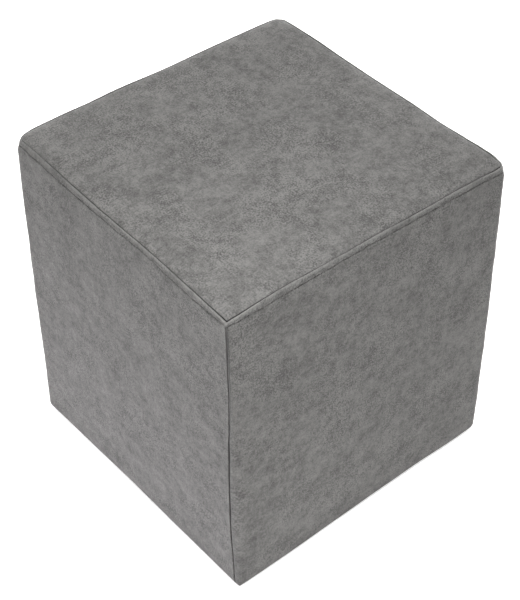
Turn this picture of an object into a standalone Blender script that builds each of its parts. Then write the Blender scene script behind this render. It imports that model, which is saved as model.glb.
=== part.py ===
"""Cube pouf stool: a firm filled cube covered in soft suede-look cloth.

The cover is cut from three pieces, and each is a solid of its own with the filling behind it:

top_panel    the seat, softly crowned, its rim turned down into the seam that runs round the top
side_panel   one strip wrapped round all four sides and joined by one upright seam beside the front
             corner, with the topstitched band under the top seam and its hem turned under the base
base_panel   the plain cloth that closes the base inside that hem

The origin is on the floor under the middle. The front corner points to -X -Y, and +Z is up.
"""

import math
from typing import NamedTuple

import bmesh
import bpy
from mathutils import Matrix, Vector

# Driving dimensions, in metres
WIDTH = 0.400  # over two opposite sides, where they swell most
HEIGHT = 0.435  # floor to the middle of the seat
SIDE_SWELL = 0.0015  # how far the middle of a side stands proud of its edges
WRAPPED_RADII = (0.011, 0.015, 0.015)  # the corners the cloth goes round: right, back and left
TWIST = math.radians(-1.0)  # the seat sits this much askew of the base, seen from above
PIECE_GAP = 0.0003  # between two pieces that are sewn together

# The seam round the top
SEAT_CROWN = 0.0080  # the middle of the seat over that seam
CREASE_INSET = 0.0050  # how far in from the side it lies
CORNER_DROP = 0.0016  # it is pulled down this much at the wrapped corners
FRONT_DROP = 0.0045  # and this much at the front one
EDGE_DRAW_IN = 0.0010  # and drawn in this much half way between them
PULL_REACH = 0.060  # how far down the side, and in over the seat, that pull is seen
LEFT_SKEW = 0.011  # slope of its left run, drawn in at the back and let out at the front
SKEW_FADE = 8  # that skew goes down the side as this power of the height

# The upright seam beside the front corner
GROOVE_HALF = 0.0009
GROOVE_DEPTH = 0.0020
LIP_TURN = 0.6  # the most of the corner's arc that the groove's lip takes up, in radians

# The bottom edge, the hem and the base
FACE_ROLL = 0.006  # radius of the bottom edge along a side
CORNER_ROLL = 0.007  # and at a wrapped corner
FRONT_ROLL = 0.003  # and at the front corner, which is pulled sharp
HEM_WIDTH = 0.026  # cloth turned under, measured in from the side
BASE_THICK = 0.0020
BASE_EDGE = 0.0005  # easing of its edges
BASE_RADIUS = 0.004  # of its corners
LEAST_RADIUS = 0.0012  # of any other corner, seen from above

# How finely the outline is divided
FACE_STEPS = 14
CORNER_STEPS = 6
ROLL_STEPS = 5

HALF = WIDTH / 2 - SIDE_SWELL  # from the middle to the edge of a side
SEAM_HEIGHT = HEIGHT - SEAT_CROWN
CREASE_FLOOR = SEAM_HEIGHT - FRONT_DROP

# How far the upright seam lies from the front corner, which is rounded only up to it
SEAM_SWAY = (
    # height, distance
    (0.000, 0.0055),
    (0.025, 0.0080),
    (0.090, 0.0100),
    (0.150, 0.0096),
    (0.240, 0.0072),
    (0.330, 0.0040),
    (HEIGHT, 0.0020),
)

# The band, from the crease over its shoulder and out to the line of topstitching
BAND_SECTION = (
    # inset from the side, height over the seam
    (0.0047, 0.0013),
    (0.0039, 0.0018),
    (0.0026, 0.0009),
    (0.0015, -0.0012),
    (0.0009, -0.0032),
    (0.0012, -0.0046),
    (0.0003, -0.0060),
    (0.0000, -0.0090),
)

# Heights of the rows down the side, below the band
SIDE_HEIGHTS = (0.408, 0.392, 0.365, 0.320, 0.270, 0.220, 0.170, 0.120, 0.075, 0.045, 0.025)

# The seat, from its turned-down rim in to the flat of its middle
SEAT_SECTION = (
    # inset from the side, height over the seam
    (0.0056, 0.0004),
    (0.0053, 0.0014),
    (0.0055, 0.0023),
    (0.0066, 0.0032),
    (0.0095, 0.0041),
    (0.0150, 0.0049),
    (0.0250, 0.0057),
    (0.0450, 0.0065),
    (0.0800, 0.0073),
    (0.1250, 0.0078),
    (0.1650, SEAT_CROWN),
)

SUEDE_COLOUR = (0.220, 0.216, 0.209, 1.0)
SUEDE_ROUGHNESS = 0.85
BASE_COLOUR = (0.030, 0.030, 0.031, 1.0)
BASE_ROUGHNESS = 0.95
SHARP_ANGLE = math.radians(50)  # an edge is shaded smooth below this


class Station(NamedTuple):
    """A place on the outline, seen from above."""

    place: Vector
    out: Vector  # the direction that the side faces there
    middle: float  # 1 half way along a side, 0 at a corner
    roll: float  # radius of the bottom edge there
    drop: float  # how far the top seam is pulled down there


def read(table, at):
    """The second column of a table for a value of its first, on a smooth curve between its rows."""
    for (low, first), (high, second) in zip(table, table[1:]):
        if at <= high:
            share = (at - low) / (high - low)
            return first + (second - first) * share * share * (3 - 2 * share)
    return table[-1][1]


def outline(inset, height, groove=None, least=LEAST_RADIUS):
    """The stations round the cube at a height, anticlockwise from the upright seam.

    Where groove gives a depth, the last two are the lip and the floor of that seam's groove.
    """
    grooved = groove is not None
    reach = HALF - inset
    radii = [max(radius - inset, least) for radius in (read(SEAM_SWAY, height), *WRAPPED_RADII)]
    rolls = (FRONT_ROLL, CORNER_ROLL, CORNER_ROLL, CORNER_ROLL)
    drops = (FRONT_DROP, CORNER_DROP, CORNER_DROP, CORNER_DROP)
    stations = []
    for side in range(4):
        turn = Matrix.Rotation(side * math.pi / 2, 2)
        radius, following = radii[side], radii[(side + 1) % 4]
        centre = Vector((radius - reach, radius - reach))
        lip = min(GROOVE_HALF / radius, LIP_TURN) if grooved and side == 0 else 0.0
        for step in range(CORNER_STEPS + 1):
            angle = math.pi + lip + (math.pi / 2 - lip) * step / CORNER_STEPS
            out = Vector((math.cos(angle), math.sin(angle)))
            place = turn @ (centre + radius * out)
            stations.append(Station(place, turn @ out, 0.0, rolls[side], drops[side]))
        last = grooved and side == 3
        run = 2 * reach - radius - following - (GROOVE_HALF if last else 0.0)
        for step in range(1, FACE_STEPS + last):
            share = step / FACE_STEPS
            middle = 1 - (2 * share - 1) ** 2
            near = side if share < 0.5 else (side + 1) % 4
            roll = FACE_ROLL + (rolls[near] - FACE_ROLL) * (1 - middle) ** 4
            drop = drops[near] * (1 - middle) ** 4
            place = turn @ Vector((radius - reach + run * share, -reach))
            stations.append(Station(place, turn @ Vector((0, -1)), middle, roll, drop))
    if grooved:
        floor = Vector((groove - reach, radii[0] - reach))
        stations.append(Station(floor, Vector((-1, 0)), 0.0, FRONT_ROLL, FRONT_DROP))
    return stations


def askew(place, height):
    """A point of the cover, with the skew and the twist that it has at its height."""
    rise = height / HEIGHT
    skew = LEFT_SKEW * place.y * max(0.0, -place.x / HALF) * rise ** SKEW_FADE
    turned = Matrix.Rotation(TWIST * (rise - 0.5), 2) @ Vector((place.x + skew, place.y))
    return (turned.x, turned.y, height)


def pulled(station, height, pull):
    """A point of the cover, with the side's swell and the pull of the top seam (1 at the seam)."""
    swell = SIDE_SWELL * station.middle * (1 - (2 * height / HEIGHT - 1) ** 4)
    place = station.place + station.out * (swell - EDGE_DRAW_IN * station.middle * pull)
    return askew(place, height - station.drop * pull)


def ring(mesh, stations, height, pull=0.0):
    """One vertex at each station, swelled and pulled with the cover."""
    return [mesh.verts.new(pulled(station, height, pull)) for station in stations]


def flat_ring(mesh, stations, height):
    """One vertex at each station, all at one height, with only the twist and the skew."""
    return [mesh.verts.new(askew(station.place, height)) for station in stations]


def skin(mesh, rings):
    """Joins the rings in order, lowest first, and closes the first and the last with a flat face."""
    for lower, upper in zip(rings, rings[1:]):
        for here in range(len(lower)):
            there = (here + 1) % len(lower)
            mesh.faces.new((lower[here], lower[there], upper[there], upper[here]))
    mesh.faces.new(reversed(rings[0]))
    mesh.faces.new(rings[-1])


def cloth(name, colour, roughness):
    material = bpy.data.materials.new(name)
    material.use_nodes = True
    material.diffuse_color = colour
    shader = material.node_tree.nodes["Principled BSDF"]
    shader.inputs["Base Color"].default_value = colour
    shader.inputs["Roughness"].default_value = roughness
    shader.inputs["Metallic"].default_value = 0.0
    return material


def piece(name, mesh, material, parent, origin=0.0):
    """A finished object from a bmesh, placed under its parent with its origin at that height."""
    bmesh.ops.translate(mesh, vec=(0, 0, -origin), verts=mesh.verts)
    mesh.normal_update()
    data = bpy.data.meshes.new(name)
    mesh.to_mesh(data)
    mesh.free()
    data.shade_smooth()
    data.set_sharp_from_angle(angle=SHARP_ANGLE)
    data.materials.append(material)
    built = bpy.data.objects.new(name, data)
    bpy.context.scene.collection.objects.link(built)
    built.parent = parent
    built.location.z = origin


def side_panel(pouf):
    """The wrapped strip, from the pocket for the base up to the floor of the crease."""
    mesh = bmesh.new()
    pocket = outline(HEM_WIDTH, 0.0, groove=0.0, least=BASE_RADIUS)
    rings = [
        flat_ring(mesh, pocket, BASE_THICK + PIECE_GAP),
        flat_ring(mesh, pocket, 0.0),
    ]
    edge = outline(0.0, 0.0, groove=GROOVE_DEPTH)
    for step in range(ROLL_STEPS + 1):
        angle = math.pi / 2 * (1 - step / ROLL_STEPS)
        rings.append([
            mesh.verts.new(askew(
                station.place - station.out * station.roll * (1 - math.cos(angle)),
                station.roll * (1 - math.sin(angle)),
            ))
            for station in edge
        ])
    for height in reversed(SIDE_HEIGHTS):
        pull = max(0.0, 1 - (SEAM_HEIGHT - height) / PULL_REACH) ** 2
        rings.append(ring(mesh, outline(0.0, height, groove=GROOVE_DEPTH), height, pull))
    for inset, rise in reversed(BAND_SECTION):
        height = SEAM_HEIGHT + rise
        groove = GROOVE_DEPTH * (1 - inset / CREASE_INSET)
        rings.append(ring(mesh, outline(inset, height, groove=groove), height, 1.0))
    rings.append(flat_ring(mesh, outline(CREASE_INSET, SEAM_HEIGHT, groove=0.0), CREASE_FLOOR))
    skin(mesh, rings)
    piece("side_panel", mesh, cloth("side_suede", SUEDE_COLOUR, SUEDE_ROUGHNESS), pouf)


def top_panel(pouf):
    """The seat, from its flat underside over the rim to the flat of its middle."""
    mesh = bmesh.new()
    underside = outline(SEAT_SECTION[0][0] + PIECE_GAP, SEAM_HEIGHT)
    rings = [flat_ring(mesh, underside, CREASE_FLOOR + PIECE_GAP)]
    for inset, rise in SEAT_SECTION:
        pull = max(0.0, 1 - inset / PULL_REACH) ** 2
        rings.append(ring(mesh, outline(inset, SEAM_HEIGHT), SEAM_HEIGHT + rise, pull))
    skin(mesh, rings)
    suede = cloth("seat_suede", SUEDE_COLOUR, SUEDE_ROUGHNESS)
    piece("top_panel", mesh, suede, pouf, origin=SEAM_HEIGHT)


def base_panel(pouf):
    """The flat cloth inside the hem, with its lower and upper edges eased."""
    mesh = bmesh.new()
    wide = HEM_WIDTH + PIECE_GAP
    rings = [
        flat_ring(mesh, outline(wide + ease, 0.0, least=BASE_RADIUS), height)
        for ease, height in (
            (BASE_EDGE, 0.0),
            (0.0, BASE_EDGE),
            (0.0, BASE_THICK - BASE_EDGE),
            (BASE_EDGE, BASE_THICK),
        )
    ]
    skin(mesh, rings)
    piece("base_panel", mesh, cloth("base_cloth", BASE_COLOUR, BASE_ROUGHNESS), pouf)


def main():
    for old in list(bpy.data.objects):
        bpy.data.objects.remove(old, do_unlink=True)
    pouf = bpy.data.objects.new("pouf", None)
    bpy.context.scene.collection.objects.link(pouf)
    top_panel(pouf)
    side_panel(pouf)
    base_panel(pouf)


main()
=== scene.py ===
"""The looks of a cube pouf stool: a firm square cushion in a sewn cover of grey microfibre suede.

The cover's three cloths and the thread that sews them are made here at their real size, on the
frame that holds the solids. The front corner points to -X -Y, and the side strip starts and ends
at the upright seam just left of it. The way round the square runs from 0 at the front corner to 1
at the right, 2 at the back and 3 at the left one. Lengths are in metres, and +Z is up.
"""

import math
from typing import NamedTuple

import bpy
import numpy as np
from bpy.props import FloatProperty, FloatVectorProperty, PointerProperty
from mathutils import Matrix, Vector


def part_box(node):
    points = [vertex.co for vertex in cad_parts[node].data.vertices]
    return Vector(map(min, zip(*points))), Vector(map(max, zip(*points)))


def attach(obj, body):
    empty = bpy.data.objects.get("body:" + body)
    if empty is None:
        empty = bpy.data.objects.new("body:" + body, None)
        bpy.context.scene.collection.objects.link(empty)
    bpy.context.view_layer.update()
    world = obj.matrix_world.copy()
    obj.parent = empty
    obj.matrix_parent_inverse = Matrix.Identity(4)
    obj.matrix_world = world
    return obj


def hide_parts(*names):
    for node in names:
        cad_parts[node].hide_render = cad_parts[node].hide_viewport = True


bl_info = {
    "name": "Cube pouf stool",
    "version": (1, 0, 0),
    "blender": (4, 5, 0),
    "location": "3D View > Sidebar > Pouf",
    "description": "Sews the suede cover of a cube pouf over its frame and sets it on a studio floor",
    "category": "Object",
}

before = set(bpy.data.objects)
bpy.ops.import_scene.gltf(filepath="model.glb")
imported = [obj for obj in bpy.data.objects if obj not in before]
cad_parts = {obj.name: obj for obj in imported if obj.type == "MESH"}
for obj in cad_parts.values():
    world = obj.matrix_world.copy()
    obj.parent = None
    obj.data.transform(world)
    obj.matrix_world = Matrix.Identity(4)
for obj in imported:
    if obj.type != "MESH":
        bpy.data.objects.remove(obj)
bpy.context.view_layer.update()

POUF_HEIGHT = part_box("top_panel")[1].z
PIECE_GAP = 0.0003  # between two pieces, and under the stool
MM = 0.001
TINY = 1e-12  # the least length that is divided by

# How far the upright seam lies from the front corner, which is rounded only up to it
SEAM_SWAY = (
    # height, distance
    (0.000, 0.0055), (0.025, 0.0080), (0.090, 0.0100), (0.150, 0.0096),
    (0.240, 0.0070), (0.270, 0.0048), (0.300, 0.0034), (0.320, 0.0023),
    (0.345, 0.0021), (0.380, 0.0010), (0.400, 0.0006), (0.435, 0.0006),
)

# The rounding of that corner: 1 is a plain arc, and less is squarer
FRONT_ROUNDING = (
    # height, power
    (0.000, 0.45), (0.012, 0.60), (0.050, 1.00), (0.435, 1.00),
)

# The band, from the crease over its shoulder and down past the line of topstitching
BAND_SECTION = (
    # inset from the side, height over the seam
    (0.0049, -0.0012), (0.0047, 0.0013), (0.0039, 0.0018),
    (0.0026, 0.0009), (0.0015, -0.0012), (0.0009, -0.0032),
    (0.0010, -0.0046), (0.0003, -0.0062), (0.0000, -0.0090),
)
SHOULDER_ROW = 2  # the highest row of that table
STITCH_ROW = 6  # the one under the topstitching
BAND_SPLIT = 4  # rows of the net for each row of that table

# The seat's rim, from its widest down into the crease
RIM_SECTION = (
    # inset from the side, height over the seam
    (0.0053, 0.0014), (0.0054, 0.0006), (0.0058, -0.0002), (0.0060, -0.0016),
)
RIM_INSET = 0.0055  # of the edge of the seat's grid, from the side
RIM_RISE = 0.0043  # of the seat just inside that edge, over the seam
RIM_ROLL = ((0.0008, 0.0012), (0.0020, 0.0065))  # depth and width of its tight and its broad roll

# The level floors of the crease, under the seat's rim and over the side strip
SEAT_FLOOR = (0.0062, -0.0009)  # inset from the side, height over the seam at the front corner
SIDE_FLOOR = (0.0050, -0.0012)

LOWEST_HEIGHT = 0.015  # of the side's rows over the rounded bottom edge, which they follow
EVEN_HEIGHT = 0.030  # from here up they are level
HEM_INSET = 0.0135  # of the hem's outermost row, from the side
CREASE_INSET = 0.0045  # of the edge of the crease

# Soft lumps and puckers of the cloth: depth, width and seed of each kind
SIDE_LUMPS = ((0.00032, 0.085, 1), (0.00010, 0.022, 2))
SEAT_LUMPS = ((0.00030, 0.070, 11), (0.00009, 0.020, 12))
RIM_PUCKERS = ((0.00010, 0.006, 13),)
BAND_PUCKERS = ((0.00012, 0.009, 4),)
STITCH_SLACK = ((0.35, 0.008, 3),)  # its depth is a share of the stitches' own
BASE_LUMPS = ((0.5, 0.090, 21),)  # a share of its lift

# Where the sewn edge strays from its even line, in millimetres
EDGE_STRAYS = (
    # way round, crease out and up, stitches out and up
    (0.00, 1.3, 0.3, 0, 2.9), (0.04, 1.9, 0, 0, -0.2), (0.12, 1.2, 0, 0, -2.2),
    (0.20, 0.6, 0, 0, -1.6), (0.30, 1.3, 0, 0, -1.0), (0.40, 1.2, 0, 0, -0.1),
    (0.46, 0.9, 0, 0, 0.7), (0.52, 0.7, 0, 0, 0.1), (0.62, 1.6, 0, 0, 0),
    (0.70, 1.7, 0, 0, 0.5), (0.80, 0.9, 0, 0, -0.3), (0.90, 0.9, -0.3, 0, -0.2),
    (0.96, 0.4, -1.8, -0.6, -1.4), (1.00, -0.7, -1.2, -1.2, -2.2), (1.02, -0.7, 0.4, -0.8, -1.0),
    (1.05, -0.2, 2.6, 0, 0), (1.10, 0, 1.9, 0, 0.6), (1.16, 0, 0.6, 0, 0.2),
    (1.26, 0, -0.9, 0, -0.6), (1.38, 0, 0.4, 0, 0), (1.56, 0, -0.2, 0, -0.4),
    (1.70, 0, 0.2, 0, 0), (1.80, 0, 1.3, 0, 0.6), (1.92, 0, 0.8, 0, 0.2),
    (2.00, 0, -0.2, 0, 0), (2.10, 0, 0.3, 0, -0.3), (2.30, 0, 0.6, 0, 0.2),
    (2.45, 0, -0.1, 0, -0.5), (2.64, 0, 1.8, 0, 0.8), (2.75, 0, 0.5, 0, 0),
    (2.82, 0, 0.8, 0, 0.3), (2.93, 0, 0.2, 0, 0), (3.00, -1.8, -1.2, -2.0, -0.4),
    (3.05, 0.2, 0, -1.0, 0), (3.10, 0.3, 0, 0, -0.2), (3.20, 0.8, -0.6, 0, -1.4),
    (3.30, 1.6, -1.0, 0, -2.2), (3.42, 2.0, -1.0, 0, -2.0), (3.52, 1.5, -1.0, 0, -1.0),
    (3.63, 0.9, -0.7, 0, 1.0), (3.68, 0.9, -0.8, 0, 0.7), (3.76, 1.0, -0.9, 0, -2.2),
    (3.82, 1.3, -1.0, 0, -2.6), (3.86, 1.3, -0.9, 0, -3.0), (3.92, 1.6, -0.8, 0, -1.0),
    (4.00, 1.3, 0.3, 0, 2.9),
)

# Where the two outer upright edges stray, and the bottom edge, in millimetres
UPRIGHT_STRAYS = (
    # height, right corner out, left corner out
    (0, -0.4, 1.2), (30, 0, 1.1), (65, 0.9, 0.2), (100, 0.8, -0.2),
    (150, 1.5, -0.2), (200, 1.1, 1.0), (250, 1.1, 0.5), (300, 1.7, -0.7),
    (350, 1.2, -0.7), (395, 0.1, -0.1), (435, 0.1, 0),
)
BOTTOM_STRAYS = (
    # way round, out
    (0.00, -0.8), (0.04, 0.4), (0.10, 1.0), (0.20, 1.1), (0.40, 0), (0.60, -1.2),
    (0.72, -1.4), (0.90, 0), (0.96, 0), (1.00, -0.7), (1.10, -0.6), (1.50, -1.2),
    (2.00, -0.4), (2.50, -1.2), (3.00, 0.2), (3.20, 0.1), (3.48, -0.6), (3.70, 0.3),
    (3.90, 0.4), (3.96, 0.2), (4.00, -0.8),
)


def linear(colour):
    """An sRGB hex colour as linear red, green, blue and alpha."""
    parts = [int(colour[place:place + 2], 16) / 255 for place in (1, 3, 5)]
    return [part / 12.92 if part <= 0.04045 else ((part + 0.055) / 1.055) ** 2.4 for part in parts] + [1.0]


# ---- what a user would change


class PoufCover(bpy.types.PropertyGroup):
    """Sizes of the cube and of the pull of its seams"""

    width: FloatProperty(
        name="Width", description="Over two opposite sides, where they swell most",
        default=0.400, subtype="DISTANCE")
    height: FloatProperty(
        name="Height", description="Floor to the middle of the seat",
        default=POUF_HEIGHT, subtype="DISTANCE")
    side_swell: FloatProperty(
        name="Side swell", description="How far the middle of a side stands proud of its edges",
        default=0.0015, subtype="DISTANCE")
    seat_crown: FloatProperty(
        name="Seat crown", description="The middle of the seat over the seam round it",
        default=0.0080, subtype="DISTANCE")
    wrapped_radii: FloatVectorProperty(
        name="Wrapped corners", description="Radii of the right, back and left corners",
        default=(0.011, 0.015, 0.015), subtype="XYZ_LENGTH")
    twist: FloatProperty(
        name="Twist", description="How far the seat is turned against the base",
        default=math.radians(-1.0), subtype="ANGLE")
    left_skew: FloatProperty(
        name="Skew", description="Slope of the seat's left run against the others", default=0.011)
    corner_drops: FloatVectorProperty(
        name="Corner drops", description="How far the seam dips at the front, right, back and left",
        default=(0.0045, 0.0016, 0.0016, 0.0016), size=4)
    draw_in: FloatProperty(
        name="Draw in", description="How far the seam is drawn in half way along a side",
        default=0.0010, subtype="DISTANCE")
    pull_reach: FloatProperty(
        name="Pull", description="How far down a side the pull of the seam is seen",
        default=0.060, subtype="DISTANCE")
    edge_roll: FloatProperty(
        name="Bottom edge", description="Its radius half way along a side",
        default=0.006, subtype="DISTANCE")
    corner_rolls: FloatVectorProperty(
        name="Bottom corners", description="The same at the front, right, back and left corners",
        default=(0.0028, 0.0072, 0.008, 0.0074), size=4)
    hem: FloatProperty(
        name="Hem", description="Cloth turned under the base", default=0.026, subtype="DISTANCE")
    unevenness: FloatProperty(
        name="Unevenness", description="How lumpy the cloth lies over the filling, 1 being usual",
        default=1.0)


class PoufSewing(bpy.types.PropertyGroup):
    """Sizes of the seams and of their thread"""

    stitch: FloatProperty(
        name="Stitch", description="Length of a topstitch, hole to hole",
        default=0.0043, subtype="DISTANCE")
    thread: FloatProperty(
        name="Thread", description="Thickness of the sewing thread", default=0.00055, subtype="DISTANCE")
    trough: FloatProperty(
        name="Trough", description="How deep the topstitching sinks into the cloth",
        default=0.00030, subtype="DISTANCE")
    hole: FloatProperty(
        name="Hole", description="How much deeper the cloth is pulled in at a needle hole",
        default=0.0014, subtype="DISTANCE")
    pucker: FloatProperty(
        name="Pucker", description="How far the cloth puffs up beside a stitch",
        default=0.00028, subtype="DISTANCE")
    stray: FloatProperty(
        name="Stray", description="How far the sewing strays from an even line",
        default=0.00016, subtype="DISTANCE")
    seam_depth: FloatProperty(
        name="Seam depth", description="Depth of the upright seam", default=0.0030, subtype="DISTANCE")
    lip: FloatProperty(
        name="Lips", description="Radius that its two lips are rolled to",
        default=0.0013, subtype="DISTANCE")
    crack: FloatProperty(
        name="Crack", description="Half the gap between them", default=0.00090, subtype="DISTANCE")


class PoufSuede(bpy.types.PropertyGroup):
    """Looks of the microfibre suede"""

    light: FloatVectorProperty(
        name="Light nap", description="Where the nap lies towards the light",
        default=linear("#807f7d"), size=4, subtype="COLOR", min=0, max=1)
    shade: FloatVectorProperty(
        name="Dark nap", description="Where it is brushed the other way",
        default=linear("#525150"), size=4, subtype="COLOR", min=0, max=1)
    roughness: FloatProperty(
        name="Roughness", description="Of the nap", default=0.90, subtype="FACTOR", min=0, max=1)
    sheen: FloatProperty(
        name="Sheen", description="Soft glow of the nap at a slant", default=0.30,
        subtype="FACTOR", min=0, max=1)
    cloud: FloatProperty(
        name="Clouds", description="Width of the broad clouds in the nap", default=0.050,
        subtype="DISTANCE")
    mottle: FloatProperty(
        name="Mottling", description="Width of the mottling within them", default=0.015, subtype="DISTANCE")
    stroke: FloatProperty(
        name="Strokes", description="Spacing of the dark strokes of the nap", default=0.006,
        subtype="DISTANCE")
    pebble: FloatProperty(
        name="Pebbles", description="Width of the pebbled grain", default=0.0020, subtype="DISTANCE")


class PoufStage(bpy.types.PropertyGroup):
    """The studio: camera, floor and lights"""

    azimuth: FloatProperty(
        name="Azimuth", description="Camera's place round the stool", default=math.radians(-39.24),
        subtype="ANGLE")
    elevation: FloatProperty(
        name="Elevation", description="Camera over the horizon", default=math.radians(42.68),
        subtype="ANGLE")
    roll: FloatProperty(
        name="Roll", description="Camera's lean", default=math.radians(-0.60), subtype="ANGLE")
    distance: FloatProperty(
        name="Distance", description="Camera from what it looks at", default=1.886, subtype="DISTANCE")
    target: FloatVectorProperty(
        name="Target", description="What the camera looks at", default=(-0.0117, -0.0175, 0.22),
        subtype="XYZ")
    lens: FloatProperty(name="Lens", description="Focal length in millimetres", default=94.56)
    floor: FloatProperty(
        name="Floor", description="Width of the pale floor", default=40.0, subtype="DISTANCE")
    glow: FloatProperty(
        name="Floor glow", description="Light that comes up through the floor", default=0.68)
    room: FloatProperty(name="Room light", description="Strength of the light from all round", default=0.01)


# ---- curves, waves and lumps


def eased(share):
    """A share kept between 0 and 1, that starts and ends smoothly."""
    share = np.clip(share, 0, 1)
    return share * share * (3 - 2 * share)


def bell(distance, width):
    """A bell curve, 1 at no distance and about a third at that width."""
    return np.exp(-(distance / width) ** 2)


def read(table, at, column=1):
    """A column of a table for values of its first, on a smooth curve between its rows."""
    rows = np.array(table)
    row = np.clip(np.searchsorted(rows[:, 0], at) - 1, 0, len(rows) - 2)
    here, there = rows[row], rows[row + 1]
    share = eased((at - here[..., 0]) / (there[..., 0] - here[..., 0]))
    return here[..., column] + (there[..., column] - here[..., column]) * share


def unit(vectors):
    """Vectors of length 1 the same way."""
    return vectors / np.maximum(np.linalg.norm(vectors, axis=-1, keepdims=True), TINY)


def lumps(along, up, width, seed):
    """Random soft relief of about -2 to 2, whose lumps are that wide."""
    draw = np.random.default_rng(seed)
    waves = 14
    total = np.zeros(np.broadcast(along, up).shape)
    for _ in range(waves):
        turn, phase = draw.uniform(0, math.tau, 2)
        rate = math.tau / (width * draw.uniform(1.2, 2.6))
        total += np.cos(rate * (along * math.cos(turn) + up * math.sin(turn)) + phase)
    return total * math.sqrt(2 / waves)


def lumpy(along, up, kinds):
    """Relief from several kinds of lumps, each with its depth, width and seed."""
    return sum(depth * lumps(along, up, width, seed) for depth, width, seed in kinds)


def wander(way, size, seed):
    """Random soft waves of about -2 to 2 on the way round the square, of that length or twice it."""
    draw = np.random.default_rng(seed)
    waves = 12
    total = np.zeros(np.shape(way))
    for _ in range(waves):
        count = draw.integers(round(0.8 / size), round(1.6 / size))
        total += np.cos(math.tau * count * way / 4 + draw.uniform(0, math.tau))
    return total * math.sqrt(2 / waves)


# ---- the shape of the cube


def half_width(cover):
    """From the middle of the square to the ends of its sides, which swell a little between them."""
    return cover.width / 2 - cover.side_swell


def seam_height(cover):
    """Height of the top seam half way along a side."""
    return cover.height - cover.seat_crown


def way_round(plan):
    """The way round the square to points seen from above."""
    across, deep = plan[..., 0], plan[..., 1]
    out = np.stack([-deep, across, deep, -across])
    side = np.argmax(out, axis=0)
    beside = np.choose(side, [across, deep, -across, -deep])
    return (side + 0.5 + 0.5 * beside / np.maximum(out.max(axis=0), TINY)) % 4


def outwards(plan):
    """The way out of the square at points seen from above, turning smoothly round its corners."""
    share = plan / np.maximum(np.max(np.abs(plan), axis=-1, keepdims=True), TINY)
    return unit(np.sign(share) * np.abs(share) ** 12)


def mid_side(way):
    """1 half way along a side, and 0 at its corners."""
    return 1 - (2 * (way % 1) - 1) ** 2


def at_corners(way, along_side, corners):
    """A value that goes from that half way along a side to that of the nearest corner."""
    nearest = np.array(corners)[np.round(way).astype(int) % 4]
    return along_side + (nearest - along_side) * np.abs(2 * (way % 1) - 1) ** 8


def askew(cover, place, height):
    """Points of the cover, with the skew and the twist that they have at their height."""
    rise = height / cover.height
    turn = cover.twist * (rise - 0.5)
    leftwards = np.maximum(0, -place[..., 0] / half_width(cover))
    across = place[..., 0] + cover.left_skew * place[..., 1] * leftwards * rise ** 8
    deep = place[..., 1]
    return np.stack([
        across * np.cos(turn) - deep * np.sin(turn),
        across * np.sin(turn) + deep * np.cos(turn),
        height,
    ], axis=-1)


# ---- the net of the side strip


class Columns(NamedTuple):
    """The upright lines of the side strip's net, anticlockwise from the upright seam."""

    side: np.ndarray  # 0 faces -Y, 1 +X, 2 +Y and 3 -X
    arc: np.ndarray  # whether it is on the corner that the side starts with
    share: np.ndarray  # how far along that corner or side
    along: np.ndarray  # metres of cloth from the upright seam
    kept: np.ndarray  # whether the coarse rows have it too


def side_columns(cover):
    """Columns of the net, closer together round the corners and on both sides of the upright seam."""
    radii = [float(read(SEAM_SWAY, cover.height / 2)), *cover.wrapped_radii]
    coarse, least, fine = 0.0042, 0.0030, 0.00053  # spacing on plain sides, and in the stitched rows
    close = 0.009  # cloth on each side of the upright seam
    twelfths = np.arange(12) / 12
    found = []
    start = 0.0
    for side in range(4):
        run = 2 * half_width(cover) - radii[side] - radii[(side + 1) % 4]
        corner = (np.arange(16) / 16) ** 1.5 if side == 0 else twelfths
        end = 1 - close / run if side == 3 else 1.0
        steps = round(run * end / coarse)
        straight = np.arange(steps) / steps * end
        if side == 0:
            opening = close / run * twelfths ** 1.5
            straight = np.append(opening, straight[straight > opening[-1] + least / run])
        if side == 3:
            straight = np.append(straight, 1 - close / run * (1 - twelfths) ** 1.5)
        for arc, length, shares in ((True, radii[side] * math.pi / 2, corner), (False, run, straight)):
            for share, following in zip(shares, np.append(shares[1:], 1.0)):
                times = max(1, round((following - share) * length / fine))
                for step in range(times):
                    spot = share + (following - share) * step / times
                    found.append((side, arc, spot, start + spot * length, step == 0))
            start += length
    return Columns(*map(np.array, zip(*found)))


class Row(NamedTuple):
    """A level line of the side strip's net."""

    inset: float  # in from the side
    height: float
    pull: float = 0.0  # the top seam's broad pull there, 1 at the seam
    crease: float = 0.0  # how much it follows the strays of the crease
    stitches: float = 0.0  # and those of the stitches
    roll: float = 0.0  # the turn of the bottom edge there, from 0 at its top to a right angle
    least: float = 0.0006  # radius of its corners at least
    fine: bool = False  # whether it has every column


def below_stitches(down):
    """How much the cloth still follows the stitches' strays, that far below them."""
    reach = 0.010
    return 1 - eased(down / reach)


def band_rows(cover):
    """Rows of the band on a smooth curve through its section, from the crease outwards."""
    points = [Vector(row) for row in BAND_SECTION]
    shoulder, stitched = points[SHOULDER_ROW].y, points[STITCH_ROW].y
    ends_twice = [points[0], *points, points[-1]]
    near_stitches = 0.0026
    rows = []
    for number in range(len(points) - 1):
        before, here, there, after = ends_twice[number:number + 4]
        for step in range(BAND_SPLIT):
            share = step / BAND_SPLIT
            spot = 0.5 * (
                2 * here + (there - before) * share
                + (2 * before - 5 * here + 4 * there - after) * share ** 2
                + (3 * here - before - 3 * there + after) * share ** 3
            )
            down = 0.0
            if number >= SHOULDER_ROW:
                down = np.clip((shoulder - spot.y) / (shoulder - stitched), 0, 1)
            rows.append(Row(
                spot.x, seam_height(cover) + spot.y, pull=1.0, crease=1 - down,
                stitches=down * below_stitches(stitched - spot.y),
                fine=abs(spot.y - stitched) < near_stitches))
    return rows


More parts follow.
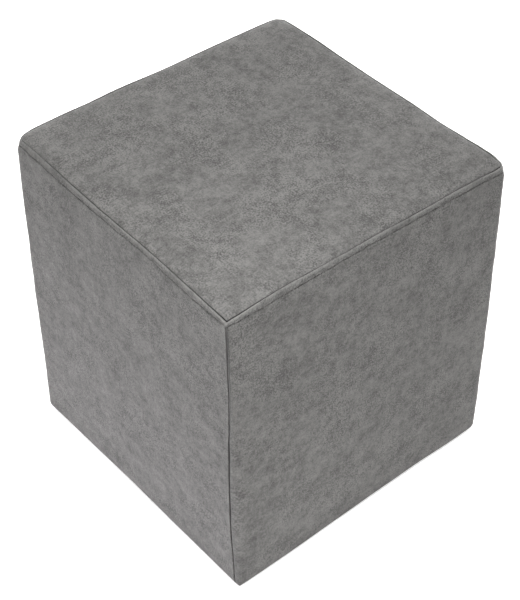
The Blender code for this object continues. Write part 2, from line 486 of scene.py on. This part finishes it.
def side_rows(cover):
    """Rows of the side strip, from the pocket for the base up to the floor of the crease."""
    hem = [Row(cover.hem, height, least=0.004) for height in (0.0022, 0.0010)]
    hem += [Row(cover.hem - step, 0.0, least=0.004) for step in (0.0006, 0.0020, 0.0035, 0.0050)]
    hem += [Row(inset, 0.0) for inset in (0.0180, 0.0155, HEM_INSET)]
    edge = [Row(0.0, 0.0, roll=math.pi / 2 * (1 - step / 8)) for step in range(8)]
    side = []
    closest, widest = 0.0012, 0.0055  # rows just under the band, and half way up the side
    height, top = LOWEST_HEIGHT, seam_height(cover) + BAND_SECTION[-1][1] - 0.0015
    while height < top - closest:
        down = seam_height(cover) - height
        side.append(Row(
            0.0, height, pull=max(0.0, 1 - down / cover.pull_reach) ** 2,
            stitches=below_stitches(down + BAND_SECTION[STITCH_ROW][1])))
        height += min(0.0018 + 0.045 * (height - LOWEST_HEIGHT), widest, closest + 0.07 * (top - height))
    crease_floor = Row(SIDE_FLOOR[0], seam_height(cover) - cover.corner_drops[0] + SIDE_FLOOR[1])
    return hem + edge + side + band_rows(cover)[::-1] + [crease_floor]


def outline(cover, columns, row):
    """Where the columns stand in a row, seen from above."""
    reach = half_width(cover) - row.inset
    radii = np.array([float(read(SEAM_SWAY, row.height)), *cover.wrapped_radii])
    radii = np.maximum(radii - row.inset, row.least)
    radius, following = radii[columns.side], radii[(columns.side + 1) % 4]
    angle = math.pi / 2 * np.where(columns.arc, columns.share, 1.0)
    at_front = columns.arc & (columns.side == 0)
    power = np.where(at_front, float(read(FRONT_ROUNDING, row.height)), 1.0)
    across = radius - reach - radius * np.cos(angle).clip(0) ** power
    across += np.where(columns.arc, 0.0, columns.share * (2 * reach - radius - following))
    deep = radius - reach - radius * np.sin(angle) ** power
    cos, sin = np.array([1, 0, -1, 0])[columns.side], np.array([0, 1, 0, -1])[columns.side]
    return np.stack([across * cos - deep * sin, across * sin + deep * cos], axis=-1)


def row_places(cover, sewing, columns, row):
    """Where the columns stand in a row, with all that moves the cloth in or out, up or down there."""
    plan = outline(cover, columns, row)
    way = way_round(plan)
    crease_out, crease_up, stitches_out, stitches_up = (
        MM * read(EDGE_STRAYS, way, column) for column in (1, 2, 3, 4))
    push = row.crease * crease_out + row.stitches * stitches_out
    push -= cover.draw_in * mid_side(way) * row.pull
    if row.inset < HEM_INSET:
        push += cover.side_swell * mid_side(way) * (1 - (2 * row.height / cover.height - 1) ** 4)
        right, left = (read(UPRIGHT_STRAYS, row.height / MM, column) for column in (1, 2))
        push += MM * at_corners(way, 0.0, (0.0, right, 0.0, left))
    bottom_reach = 0.05
    low = max(0.0, 1 - row.height / bottom_reach) ** 2 * max(0.0, 1 - row.inset / cover.hem)
    push += MM * low * read(BOTTOM_STRAYS, way)

    roll = at_corners(way, cover.edge_roll, cover.corner_rolls)
    push -= roll * (1 - math.cos(row.roll))
    height = row.height + np.zeros(len(way))
    if row.roll:
        height = roll * (1 - math.sin(row.roll))
    elif row.height < EVEN_HEIGHT and row.inset == 0:
        share = (row.height - LOWEST_HEIGHT) / (EVEN_HEIGHT - LOWEST_HEIGHT)
        height = roll + share * (EVEN_HEIGHT - roll)
    height -= row.pull * at_corners(way, 0.0, cover.corner_drops)
    height += row.crease * crease_up
    height += row.stitches * (stitches_up + sewing.stray * wander(way, 0.03, 7))
    return askew(cover, plan + outwards(plan) * push[:, None], height)


class Net(NamedTuple):
    """Points of the side strip, row by row, with lengths measured on the cloth."""

    place: np.ndarray
    normal: np.ndarray
    used: np.ndarray  # whether the mesh has the point
    along: np.ndarray  # metres of cloth from the upright seam
    up: np.ndarray  # metres of cloth from the pocket for the base
    near: np.ndarray  # metres from the upright seam
    girth: float
    stitches: int  # how many topstitches go round
    stitched: int  # the row under them


def side_net(cover, sewing):
    """The side strip's net, with its seams, its stitched band and its unevenness."""
    columns, rows = side_columns(cover), side_rows(cover)
    place = np.array([row_places(cover, sewing, columns, row) for row in rows])
    around = np.roll(place, -1, axis=1) - np.roll(place, 1, axis=1)
    plain_column = place[:, len(columns.along) // 3]  # on the right side, clear of its corners
    steps = np.linalg.norm(np.diff(plain_column, axis=0), axis=-1)
    girth = columns.along[-1] + (columns.along[-1] - columns.along[-2])
    net = Net(
        place=place,
        normal=unit(np.cross(around, np.gradient(place, axis=0))),
        used=np.array([columns.kept | row.fine for row in rows]),
        along=columns.along,
        up=np.concatenate([[0.0], np.cumsum(steps)]),
        near=np.linalg.norm(place - place[:, :1], axis=-1),
        girth=girth,
        stitches=round(girth / sewing.stitch),
        stitched=len(rows) - 2 - STITCH_ROW * BAND_SPLIT,
    )
    heights = np.array([[row.height] for row in rows])
    insets = np.array([[row.inset] for row in rows])
    relief = filling_relief(cover, net, heights, insets) + stitching_relief(sewing, net, insets)
    lips, sunk = upright_seam(cover, sewing, net, heights, insets)
    relief += lips
    into_corner = unit(np.array([1.0, 1.0, 0.0]))
    return net._replace(place=place + net.normal * relief[..., None] + into_corner * sunk[..., None])


def filling_relief(cover, net, heights, insets):
    """How far the cloth stands out over the lumps of the filling, clear of its edges."""
    band, growth, side_depth = 0.008, 0.040, 0.001
    over_edge = np.clip(heights / EVEN_HEIGHT, 0, 1)
    under_band = np.clip((seam_height(cover) - band - heights) / growth, 0, 1)
    free = cover.unevenness * over_edge * under_band * (insets < side_depth)
    return free * lumpy(net.along, net.up[:, None], SIDE_LUMPS)


def stitching_relief(sewing, net, insets):
    """How far the cloth stands out beside the topstitches, and sinks under them."""
    trough_width, hole_width, hole_pull, lock_reach = 0.00075, 0.00065, 0.0012, 0.030
    puff_place, puff_width, pucker_reach, fade = 0.0015, 0.0009, 0.006, 0.003
    along, up = net.along, net.up[:, None]
    stitch = net.girth / net.stitches
    from_hole = np.abs((along / stitch + 0.5) % 1 - 0.5) * stitch
    from_line = up - up[net.stitched]
    from_end = np.minimum(along, net.girth - along)
    loose = 1 + lumpy(along, 0 * up, STITCH_SLACK)  # no two stitches are drawn equally tight
    locked = 1 + 1.2 * bell(from_end, lock_reach)  # and those that lock the sewing most of all
    hole = sewing.hole * bell(from_hole, hole_width)
    relief = -bell(from_line, trough_width) * loose * locked * (sewing.trough + hole)
    between = 1 - bell(from_hole, hole_pull)
    relief += bell(np.abs(from_line) - puff_place, puff_width) * loose * between * sewing.pucker
    out_of_crease = np.clip(1.4 - insets / fade, 0, 1)
    drawn = np.exp(-np.abs(from_line) / pucker_reach) * out_of_crease * lumpy(along, up, BAND_PUCKERS)
    return relief * (insets < CREASE_INSET) + drawn


def upright_seam(cover, sewing, net, heights, insets):
    """How far the lips of the upright seam stand out, and how far it sinks into the corner."""
    lip_rise, lip_place, lip_width, fade, end_reach = 0.00025, 0.0028, 0.0016, 0.003, 0.08
    over_edge = np.clip(heights / fade, 0, 1)
    out_of_crease = np.clip((CREASE_INSET - insets) / fade, 0, 1)
    under_line = np.clip((net.up[net.stitched] - net.up[:, None]) / (fade / 2), 0, 1)
    open_part = over_edge * out_of_crease * under_line
    lips = lip_rise * bell(net.near - lip_place, lip_width)
    rolled = sewing.lip * (1 - np.sqrt(1 - np.clip(1 - net.near / sewing.lip, 0, 1) ** 2))
    from_end = np.minimum(heights, seam_height(cover) - heights)
    gripped = np.clip(from_end / end_reach, 0.35, 1.4)  # shallow at both ends, and deeper between them
    crack = sewing.seam_depth * gripped * bell(net.near, sewing.crack)
    return open_part * lips, open_part * (rolled + crack)


# ---- meshes


def cloth_object(name, points, faces, flat, strip=0.0, seams=None):
    """A mesh object with its cloth's flat coordinates, in metres, as its UV map.

    Strip is the length of a cloth that is closed into a ring, so that its last faces end there.
    A second map says how far each point is from the upright seam and over the band's shoulder.
    """
    mesh = bpy.data.meshes.new(name)
    mesh.from_pydata(points.tolist(), [], faces)
    mesh.shade_smooth()
    corner = np.empty(len(mesh.loops), int)
    mesh.loops.foreach_get("vertex_index", corner)
    spread = flat[corner].copy()
    if strip:
        starts = np.empty(len(mesh.polygons), int)
        mesh.polygons.foreach_get("loop_start", starts)
        widest = np.maximum.reduceat(spread[:, 0], starts)
        widest = np.repeat(widest, np.diff(np.append(starts, len(corner))))
        spread[:, 0] += np.where(widest - spread[:, 0] > strip / 2, strip, 0.0)
    seams = np.ones((len(points), 2)) if seams is None else seams
    for title, values in (("cloth", spread), ("seams", seams[corner])):
        mesh.uv_layers.new(name=title).data.foreach_set("uv", values.astype(np.float32).ravel())
    mesh.validate()
    built = bpy.data.objects.new(name, mesh)
    bpy.context.scene.collection.objects.link(built)
    return built


def rows_to_faces(numbers):
    """Faces between rows of vertex numbers, where -1 is a column that the row doesn't have."""
    faces = []
    count = numbers.shape[1]
    shared = np.flatnonzero((numbers >= 0).all(axis=0))
    spans = [np.arange(here, there + 1) % count for here, there in zip(shared, [*shared[1:], count])]
    for lower, upper in zip(numbers, numbers[1:]):
        for span in spans:
            under = [number for number in lower[span] if number >= 0]
            over = [number for number in upper[span] if number >= 0]
            if len(under) == len(over):
                faces += zip(under, under[1:], over[1:], over)
            else:
                faces.append((*under, *reversed(over)))
    return faces


def grid_faces(count):
    """Faces of a square grid of vertices, and the vertices round it, anticlockwise."""
    numbers = np.arange(count * count).reshape(count, count)
    faces = np.stack([numbers[:-1, :-1], numbers[1:, :-1], numbers[1:, 1:], numbers[:-1, 1:]], axis=-1)
    ring = np.concatenate([numbers[:-1, 0], numbers[-1, :-1], numbers[:0:-1, -1], numbers[0, :0:-1]])
    return faces.reshape(-1, 4), ring


def wall_faces(lower, upper):
    """Faces between two rings of vertices."""
    return np.stack([lower, np.roll(lower, -1), np.roll(upper, -1), upper], axis=-1).tolist()


def side_cover_object(cover, sewing):
    """The side strip, closed under the base and under the seat."""
    net = side_net(cover, sewing)
    used = net.used
    numbers = np.where(used, np.cumsum(used).reshape(used.shape) - 1, -1)
    faces = rows_to_faces(numbers)
    faces.append(numbers[0][used[0]][::-1].tolist())
    faces.append(numbers[-1][used[-1]].tolist())
    flat = np.stack(np.broadcast_arrays(net.along, net.up[:, None]), axis=-1)
    shoulder = net.up[net.stitched + (STITCH_ROW - SHOULDER_ROW) * BAND_SPLIT]
    seams = np.stack(np.broadcast_arrays(net.near, net.up[:, None] - shoulder), axis=-1)
    return cloth_object("side_cover", net.place[used], faces, flat[used], net.girth, seams[used])


def seat_lines(reach):
    """Places of the seat's grid lines, close together at the rim and wider over the middle."""
    closest, widest = 0.00040, 0.0026
    steps = [0.0]
    while steps[-1] < reach:
        steps.append(steps[-1] + min(closest + 0.11 * steps[-1], widest))
    places = np.array(steps) * reach / steps[-1]
    return np.concatenate([places - reach, (reach - places[:-1])[::-1]])


def seat_plan(lines, reach, radii):
    """The seat's grid seen from above with its corners rounded, and how far in its points lie."""
    across, deep = np.meshgrid(lines, lines, indexing="ij")
    front, right, back, left = radii
    radius = np.where(across < 0, np.where(deep < 0, front, left), np.where(deep < 0, right, back))
    first = np.clip((np.abs(across) - (reach - radius)) / radius, 0, 1)
    second = np.clip((np.abs(deep) - (reach - radius)) / radius, 0, 1)
    corner = (first > 0) & (second > 0)
    bent_across = reach - radius + radius * first * np.sqrt(1 - second ** 2 / 2)
    bent_deep = reach - radius + radius * second * np.sqrt(1 - first ** 2 / 2)
    plan = np.stack([
        np.where(corner, np.sign(across) * bent_across, across),
        np.where(corner, np.sign(deep) * bent_deep, deep),
    ], axis=-1)
    over = np.maximum(np.abs(plan) - (reach - radius)[..., None], 0)
    inside = np.where(
        corner, radius - np.linalg.norm(over, axis=-1), reach - np.max(np.abs(plan), axis=-1))
    return plan, np.maximum(inside, 0)


def seat_height(cover, plan, inside, reach):
    """Height of the seat, which is crowned, rolled down at its rim and a little lumpy."""
    crown_reach, lump_reach, pucker_reach = 0.045, 0.020, 0.0035
    gap = np.maximum(reach - np.abs(plan), 0.00001)
    inward = (gap[..., 0] ** -3 + gap[..., 1] ** -3) ** (-1 / 3)  # from the rim, but never creased
    crown = (cover.seat_crown - RIM_RISE) * (1 - np.exp(-inward / crown_reach))
    rolled = sum(depth * np.exp(-inside / width) for depth, width in RIM_ROLL)
    free = 1 - np.exp(-inside / lump_reach)
    pinched = np.exp(-inside / pucker_reach)
    across, deep = plan[..., 0], plan[..., 1]
    uneven = free * lumpy(across, deep, SEAT_LUMPS) + pinched * lumpy(across, deep, RIM_PUCKERS)
    return seam_height(cover) + RIM_RISE - rolled + crown + cover.unevenness * uneven


def seat_object(cover):
    """The seat: a crowned grid whose rim turns down into the crease."""
    reach = half_width(cover) - RIM_INSET
    lines = seat_lines(reach)
    radii = np.maximum(np.array([0.0, *cover.wrapped_radii]) - RIM_INSET, 0.0012)
    plan, inside = seat_plan(lines, reach, radii)
    way = way_round(plan)
    share = np.max(np.abs(plan), axis=-1) / half_width(cover)
    rise = MM * read(EDGE_STRAYS, way, 2) - at_corners(way, 0.0, cover.corner_drops)
    rise *= share ** 16
    push = MM * read(EDGE_STRAYS, way, 1) - cover.draw_in * mid_side(way)
    push *= share ** 8
    pushed = plan + outwards(plan) * push[..., None]
    top = askew(cover, pushed, seat_height(cover, plan, inside, reach) + rise)

    quads, ring = grid_faces(len(lines))
    faces = quads.tolist()
    rim, rim_pushed, rim_rise = plan.reshape(-1, 2)[ring], pushed.reshape(-1, 2)[ring], rise.reshape(-1)[ring]
    forward = unit(np.roll(rim, -1, axis=0) - np.roll(rim, 1, axis=0))
    facing = np.stack([forward[:, 1], -forward[:, 0]], axis=-1)
    section = [(inset, over_seam + rim_rise) for inset, over_seam in RIM_SECTION]
    section.append((SEAT_FLOOR[0], np.full(len(ring), SEAT_FLOOR[1] - cover.corner_drops[0])))
    cloth_step = 0.002  # of cloth from one row of the section to the next
    points, flat = [top.reshape(-1, 3)], [plan.reshape(-1, 2)]
    upper = ring
    for number, (inset, over_seam) in enumerate(section):
        place = rim_pushed + facing * (RIM_INSET - inset)
        points.append(askew(cover, place, seam_height(cover) + over_seam))
        flat.append(rim + facing * cloth_step * (number + 1))
        lower = quads.max() + 1 + number * len(ring) + np.arange(len(ring))
        faces += wall_faces(lower, upper)
        upper = lower
    faces.append(upper[::-1].tolist())
    apart = 3.0  # so that the seat isn't cut from the same piece of nap as the sides
    return cloth_object("seat_cover", np.concatenate(points), faces, np.concatenate(flat) + apart)


def thread_object(net, sewing):
    """The topstitches as short tubes that dip into the cloth at both ends."""
    rings, sides = 7, 6
    share = np.linspace(0, 1, rings)
    from_middle = np.abs(2 * share - 1)
    stitch = net.girth / net.stitches
    gap = 0.0003  # left free at each end of a stitch
    lie, dip = 0.34, 0.9  # its middle over the cloth, and its ends under that, in thicknesses
    slant, taper = 0.00010, 0.3
    at = np.arange(net.stitches)[:, None] * stitch + gap + (stitch - 2 * gap) * share

    def under(values):
        parts = values[net.stitched].T
        return np.stack([np.interp(at, net.along, part, period=net.girth) for part in parts], axis=-1)

    normal = unit(under(net.normal))
    lift = sewing.thread * (lie - dip * from_middle ** 3)
    centre = under(net.place) + normal * lift[:, None]
    forward = unit(np.gradient(centre, axis=1))
    beside = unit(np.cross(forward, normal))
    above = np.cross(beside, forward)
    centre += beside * slant * (2 * share - 1)[:, None]
    radius = sewing.thread / 2 * (1 - taper * from_middle ** 4)
    turn = (np.arange(sides) / sides * math.tau)[:, None]
    around = beside[:, :, None] * np.cos(turn) + above[:, :, None] * np.sin(turn)
    points = (centre[:, :, None] + around * radius[:, None, None]).reshape(-1, 3)
    numbers = np.arange(len(points)).reshape(-1, rings, sides)
    faces = []
    for tube in numbers:
        for lower, upper in zip(tube, tube[1:]):
            faces += wall_faces(lower, upper)
        faces += [tube[0][::-1].tolist(), tube[-1].tolist()]
    return cloth_object("topstitching", points, faces, points[:, :2])


def base_object(cover, reach):
    """The base cloth, stretched inside the hem just clear of the floor, with its own slight lumps."""
    thickness, clear, lifted, ease = 0.0008, 0.0004, 0.0003, 0.01
    lines = np.linspace(-reach, reach, 61)
    across, deep = np.meshgrid(lines, lines, indexing="ij")
    inside = reach - np.maximum(np.abs(across), np.abs(deep))
    uneven = 1 + lumpy(across, deep, BASE_LUMPS)
    height = clear + np.maximum(lifted * (1 - np.exp(-inside / ease)) * uneven, 0)
    lower = askew(cover, np.stack([across, deep], axis=-1), height).reshape(-1, 3)
    points = np.concatenate([lower, lower + np.array([0, 0, thickness])])
    quads, ring = grid_faces(len(lines))
    faces = quads[:, ::-1].tolist() + (quads + len(lower)).tolist()
    faces += wall_faces(ring, ring + len(lower))
    return cloth_object("base_cloth", points, faces, points[:, :2])


# ---- materials


def put(tree, kind, inputs=None, **settings):
    """Adds a node. Settings are its own choices, and inputs are values or the outputs linked in."""
    node = tree.nodes.new(kind)
    for name, value in settings.items():
        setattr(node, name, value)
    for name, value in (inputs or {}).items():
        if isinstance(value, bpy.types.NodeSocket):
            tree.links.new(value, node.inputs[name])
        else:
            node.inputs[name].default_value = value
    return node


def surface(name, values):
    """A new material with those values on its shader, and that shader and its node tree."""
    material = bpy.data.materials.new(name)
    material.use_nodes = True
    tree = material.node_tree
    shader = tree.nodes["Principled BSDF"]
    for socket, value in values.items():
        shader.inputs[socket].default_value = value
    return material, tree, shader


def microfibre_suede(suede):
    """Brushed polyester microfibre suede.

    Its short nap gives no gloss, only a soft sheen at a slant. It is cloudy and mottled where the
    nap lies different ways, with darker strokes where it was pressed, over a fine pebbled grain.
    It has a painted highlight along the band's shoulder, and painted shade in the upright seam's crack.
    """
    material, tree, shader = surface("microfibre_suede", {
        "Roughness": suede.roughness,
        "Specular IOR Level": 0.25,
        "Sheen Weight": suede.sheen,
        "Sheen Roughness": 0.30,
    })
    cloth = put(tree, "ShaderNodeUVMap", uv_map="cloth").outputs["UV"]
    slanted = put(tree, "ShaderNodeMapping", {
        "Vector": cloth, "Rotation": (0.0, 0.0, 0.6), "Scale": (0.28, 1.0, 1.0),
    }).outputs["Vector"]
    # The pile is about 0.2 mm across, too fine to show, so its pebbles are drawn ten times as wide
    clouds, mottle, pebbles, streaks, patches = (
        put(tree, "ShaderNodeTexNoise", {
            "Vector": lie, "Scale": 1 / width, "Detail": detail, "Roughness": rough,
        }, noise_dimensions="2D").outputs["Fac"]
        for lie, width, detail, rough in (
            (cloth, suede.cloud, 1.0, 0.5),
            (cloth, suede.mottle, 5.0, 0.95),
            (cloth, suede.pebble, 2.0, 0.6),
            (slanted, suede.stroke, 2.0, 0.5),
            (cloth, suede.cloud / 0.8, 2.0, 0.5),
        )
    )
    grain = put(tree, "ShaderNodeMath", {0: pebbles, 1: 0.5}, operation="SUBTRACT").outputs[0]

    seams = put(tree, "ShaderNodeUVMap", uv_map="seams").outputs["UV"]
    from_seam, over_shoulder, _ = put(tree, "ShaderNodeSeparateXYZ", {"Vector": seams}).outputs
    off_shoulder = put(tree, "ShaderNodeMath", {0: over_shoulder}, operation="ABSOLUTE").outputs[0]
    # The nap is worn in patches, where its grain, its strokes and the shoulder's painted highlight show most
    wear_and_highlight_patches, strokes, shoulder, in_seam, under_band, over_hem = (
        put(tree, "ShaderNodeMapRange", {
            "Value": value, "From Min": first, "From Max": last, "To Min": at_first, "To Max": at_last,
        }, interpolation_type=kind).outputs["Result"]
        for value, first, last, at_first, at_last, kind in (
            (patches, 0.40, 0.62, 0.35, 1.0, "LINEAR"),
            (streaks, 0.66, 0.76, 0.0, 1.0, "SMOOTHSTEP"),
            (off_shoulder, 0.0008, 0.0042, 1.0, 0.0, "SMOOTHSTEP"),
            (from_seam, 0.0013, 0.0022, 1.0, 0.0, "SMOOTHSTEP"),
            (over_shoulder, -0.0200, -0.0050, 1.0, 0.0, "LINEAR"),
            (over_shoulder, -0.3700, -0.2500, 0.15, 1.0, "LINEAR"),
        )
    )
    # Painted shade along the crack of the upright seam, starting a little under the band
    painted_seam_shade = put(tree, "ShaderNodeMath", {0: in_seam, 1: under_band}, operation="MULTIPLY").outputs[0]

    tone = put(tree, "ShaderNodeMath", {0: clouds, 1: 0.50, 2: -0.925}, operation="MULTIPLY_ADD")
    for part, where, lighter in (
        # painted highlight along the band's shoulder, patchy where the nap is worn
        (shoulder, wear_and_highlight_patches, 0.50),
        # painted shade in the upright seam, weaker towards the hem
        (painted_seam_shade, over_hem, -1.30),
        (mottle, 1.0, 2.35),
        (grain, wear_and_highlight_patches, 2.40),
        (strokes, wear_and_highlight_patches, -0.25),
    ):
        there = put(tree, "ShaderNodeMath", {0: part, 1: where}, operation="MULTIPLY").outputs[0]
        tone = put(tree, "ShaderNodeMath", {
            0: there, 1: lighter, 2: tone.outputs[0]}, operation="MULTIPLY_ADD")
    nap = put(tree, "ShaderNodeMix", {
        0: tone.outputs[0], 6: suede.shade, 7: suede.light}, data_type="RGBA")
    fine = put(tree, "ShaderNodeBump", {"Strength": 0.6, "Distance": 0.0004, "Height": pebbles})
    brushed = put(tree, "ShaderNodeBump", {
        "Strength": 0.25, "Distance": 0.0015, "Height": mottle, "Normal": fine.outputs["Normal"]})
    tree.links.new(nap.outputs[2], shader.inputs["Base Color"])
    tree.links.new(brushed.outputs["Normal"], shader.inputs["Normal"])
    return material


def bonded_thread():
    """Bonded polyester sewing thread, dyed as the suede, with a dull gleam from its twist."""
    return surface("bonded_polyester_thread", {"Base Color": linear("#6f6d6b"), "Roughness": 0.65})[0]


def spun_bonded():
    """Spun-bonded polypropylene, the plain charcoal cloth under seats: matt, with a dimpled grid."""
    material, tree, shader = surface("spun_bonded_polypropylene", {
        "Base Color": linear("#2f2f30"), "Roughness": 0.85})
    cloth = put(tree, "ShaderNodeUVMap", uv_map="cloth").outputs["UV"]
    # The real dimples are 0.8 mm apart, too fine to show, so they are drawn 2.5 mm apart
    dimples = put(tree, "ShaderNodeTexVoronoi", {
        "Vector": cloth, "Scale": 1 / 0.0025, "Randomness": 0.0}, voronoi_dimensions="2D")
    pressed = put(tree, "ShaderNodeBump", {
        "Strength": 0.6, "Distance": 0.0004, "Height": dimples.outputs["Distance"]})
    tree.links.new(pressed.outputs["Normal"], shader.inputs["Normal"])
    return material


def lit_acrylic(glow):
    """Opal acrylic, a studio table that is lit from below: white, matt and faintly glowing."""
    return surface("lit_opal_acrylic", {
        "Base Color": linear("#f2f1f0"),
        "Roughness": 0.9,
        "Emission Color": linear("#ffffff"),
        "Emission Strength": glow,
    })[0]


def suede_of(scene):
    """The one suede that the seat and the sides are cut from."""
    return bpy.data.materials.get("microfibre_suede") or microfibre_suede(scene.pouf_suede)


# ---- operators


class POUF_OT_seat(bpy.types.Operator):
    """Sews the crowned seat"""

    bl_idname = "pouf.seat"
    bl_label = "Seat"

    def execute(self, context):
        scene = context.scene
        seat = seat_object(scene.pouf_cover)
        seat.data.materials.append(suede_of(scene))
        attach(seat, "root")
        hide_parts("top_panel")
        return {"FINISHED"}


class POUF_OT_side_strip(bpy.types.Operator):
    """Wraps and sews the side strip"""

    bl_idname = "pouf.side_strip"
    bl_label = "Side strip"

    def execute(self, context):
        scene = context.scene
        side = side_cover_object(scene.pouf_cover, scene.pouf_sewing)
        side.data.materials.append(suede_of(scene))
        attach(side, "root")
        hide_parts("side_panel")
        return {"FINISHED"}


class POUF_OT_topstitching(bpy.types.Operator):
    """Lays the thread of the topstitched band"""

    bl_idname = "pouf.topstitching"
    bl_label = "Topstitching"

    def execute(self, context):
        cover, sewing = context.scene.pouf_cover, context.scene.pouf_sewing
        thread = thread_object(side_net(cover, sewing), sewing)
        thread.data.materials.append(bonded_thread())
        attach(thread, "root")
        return {"FINISHED"}


class POUF_OT_base(bpy.types.Operator):
    """Stretches the base cloth inside the hem"""

    bl_idname = "pouf.base"
    bl_label = "Base cloth"

    def execute(self, context):
        cover = context.scene.pouf_cover
        reach = half_width(cover) - cover.hem - PIECE_GAP
        base = base_object(cover, reach)
        base.data.materials.append(spun_bonded())
        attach(base, "root")
        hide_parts("base_panel")
        return {"FINISHED"}


# A softbox overhead and a small one near the front corner, two low strips that light the sides,
# and two boxes behind that light the far rims
LIGHTS = (
    # name, place, aim, width, depth, watts, colour
    ("overhead", (0.0, 0.0, 4.0), (0.0, 0.0, 0.0), 3.0, 3.0, 130.5, "#ffffff"),
    ("front", (-0.42, -0.42, 0.95), (-0.15, -0.15, 0.43), 0.5, 0.5, 4.2, "#ffffff"),
    ("low_left", (-0.50, 0.0, 0.04), (0.0, 0.0, 0.04), 0.7, 0.06, 0.55, "#f8f4ff"),
    ("low_right", (-0.22, -0.50, 0.04), (-0.22, 0.0, 0.04), 0.4, 0.06, 0.22, "#ffffff"),
    ("behind_right", (1.60, 0.10, 0.52), (0.0, 0.10, 0.43), 0.5, 0.4, 19.0, "#ffffff"),
    ("behind_left", (0.10, 1.60, 0.52), (0.10, 0.0, 0.43), 0.5, 0.4, 19.0, "#ffffff"),
)


class POUF_OT_stage(bpy.types.Operator):
    """Sets the floor, the lights and the camera"""

    bl_idname = "pouf.stage"
    bl_label = "Stage"

    def execute(self, context):
        scene = context.scene
        stage = scene.pouf_stage
        self.set_camera(scene, stage)
        self.set_floor(scene, stage)
        self.set_lights(scene, stage)
        scene.view_settings.view_transform = "Standard"
        return {"FINISHED"}

    def set_camera(self, scene, stage):
        azimuth, elevation, roll = stage.azimuth, stage.elevation, stage.roll
        forward = Vector((
            -math.sin(azimuth) * math.cos(elevation),
            math.cos(azimuth) * math.cos(elevation),
            -math.sin(elevation),
        ))
        level = Vector((math.cos(azimuth), math.sin(azimuth), 0.0))
        right = math.cos(roll) * level + math.sin(roll) * level.cross(forward)
        camera = bpy.data.objects.new("camera", bpy.data.cameras.new("camera"))
        camera.data.lens = stage.lens
        axes = Matrix((right, right.cross(forward), -forward)).transposed().to_4x4()
        camera.matrix_world = Matrix.Translation(Vector(stage.target) - forward * stage.distance) @ axes
        scene.collection.objects.link(camera)
        scene.camera = camera

    def set_floor(self, scene, stage):
        mesh = bpy.data.meshes.new("floor")
        reach = stage.floor / 2
        corners = [(-reach, -reach, 0), (reach, -reach, 0), (reach, reach, 0), (-reach, reach, 0)]
        mesh.from_pydata(corners, [], [(0, 1, 2, 3)])
        mesh.materials.append(lit_acrylic(stage.glow))
        floor = bpy.data.objects.new("floor", mesh)
        floor.location.z = -PIECE_GAP
        scene.collection.objects.link(floor)

    def set_lights(self, scene, stage):
        world = bpy.data.worlds.new("studio")
        world.use_nodes = True
        background = world.node_tree.nodes["Background"]
        background.inputs["Color"].default_value = linear("#ffffff")
        background.inputs["Strength"].default_value = stage.room
        scene.world = world
        for name, place, aim, width, depth, watts, colour in LIGHTS:
            lamp = bpy.data.lights.new(name, "AREA")
            lamp.shape = "RECTANGLE"
            lamp.size, lamp.size_y = width, depth
            lamp.energy = watts
            lamp.color = linear(colour)[:3]
            light = bpy.data.objects.new(name, lamp)
            light.location = place
            light.rotation_mode = "QUATERNION"
            light.rotation_quaternion = (Vector(aim) - Vector(place)).to_track_quat("-Z", "Y")
            light.visible_camera = False
            scene.collection.objects.link(light)


class POUF_PT_panel(bpy.types.Panel):
    """Lists what makes the pouf, with its sizes"""

    bl_label = "Pouf"
    bl_space_type = "VIEW_3D"
    bl_region_type = "UI"
    bl_category = "Pouf"

    def draw(self, context):
        for operator in OPERATORS:
            self.layout.operator(operator.bl_idname)
        for name, group in GROUPS.items():
            box = self.layout.box()
            box.label(text=group.__doc__)
            for value in group.__annotations__:
                box.prop(getattr(context.scene, name), value)


OPERATORS = (POUF_OT_seat, POUF_OT_side_strip, POUF_OT_topstitching, POUF_OT_base, POUF_OT_stage)
GROUPS = {
    "pouf_cover": PoufCover,
    "pouf_sewing": PoufSewing,
    "pouf_suede": PoufSuede,
    "pouf_stage": PoufStage,
}
CLASSES = (*GROUPS.values(), *OPERATORS, POUF_PT_panel)


def register():
    for made in CLASSES:
        bpy.utils.register_class(made)
    for name, group in GROUPS.items():
        setattr(bpy.types.Scene, name, PointerProperty(type=group))


def unregister():
    for name in GROUPS:
        delattr(bpy.types.Scene, name)
    for made in reversed(CLASSES):
        bpy.utils.unregister_class(made)


def main():
    register()
    bpy.ops.pouf.seat()
    bpy.ops.pouf.side_strip()
    bpy.ops.pouf.topstitching()
    bpy.ops.pouf.base()
    bpy.ops.pouf.stage()


if __name__ == "__main__":
    main()
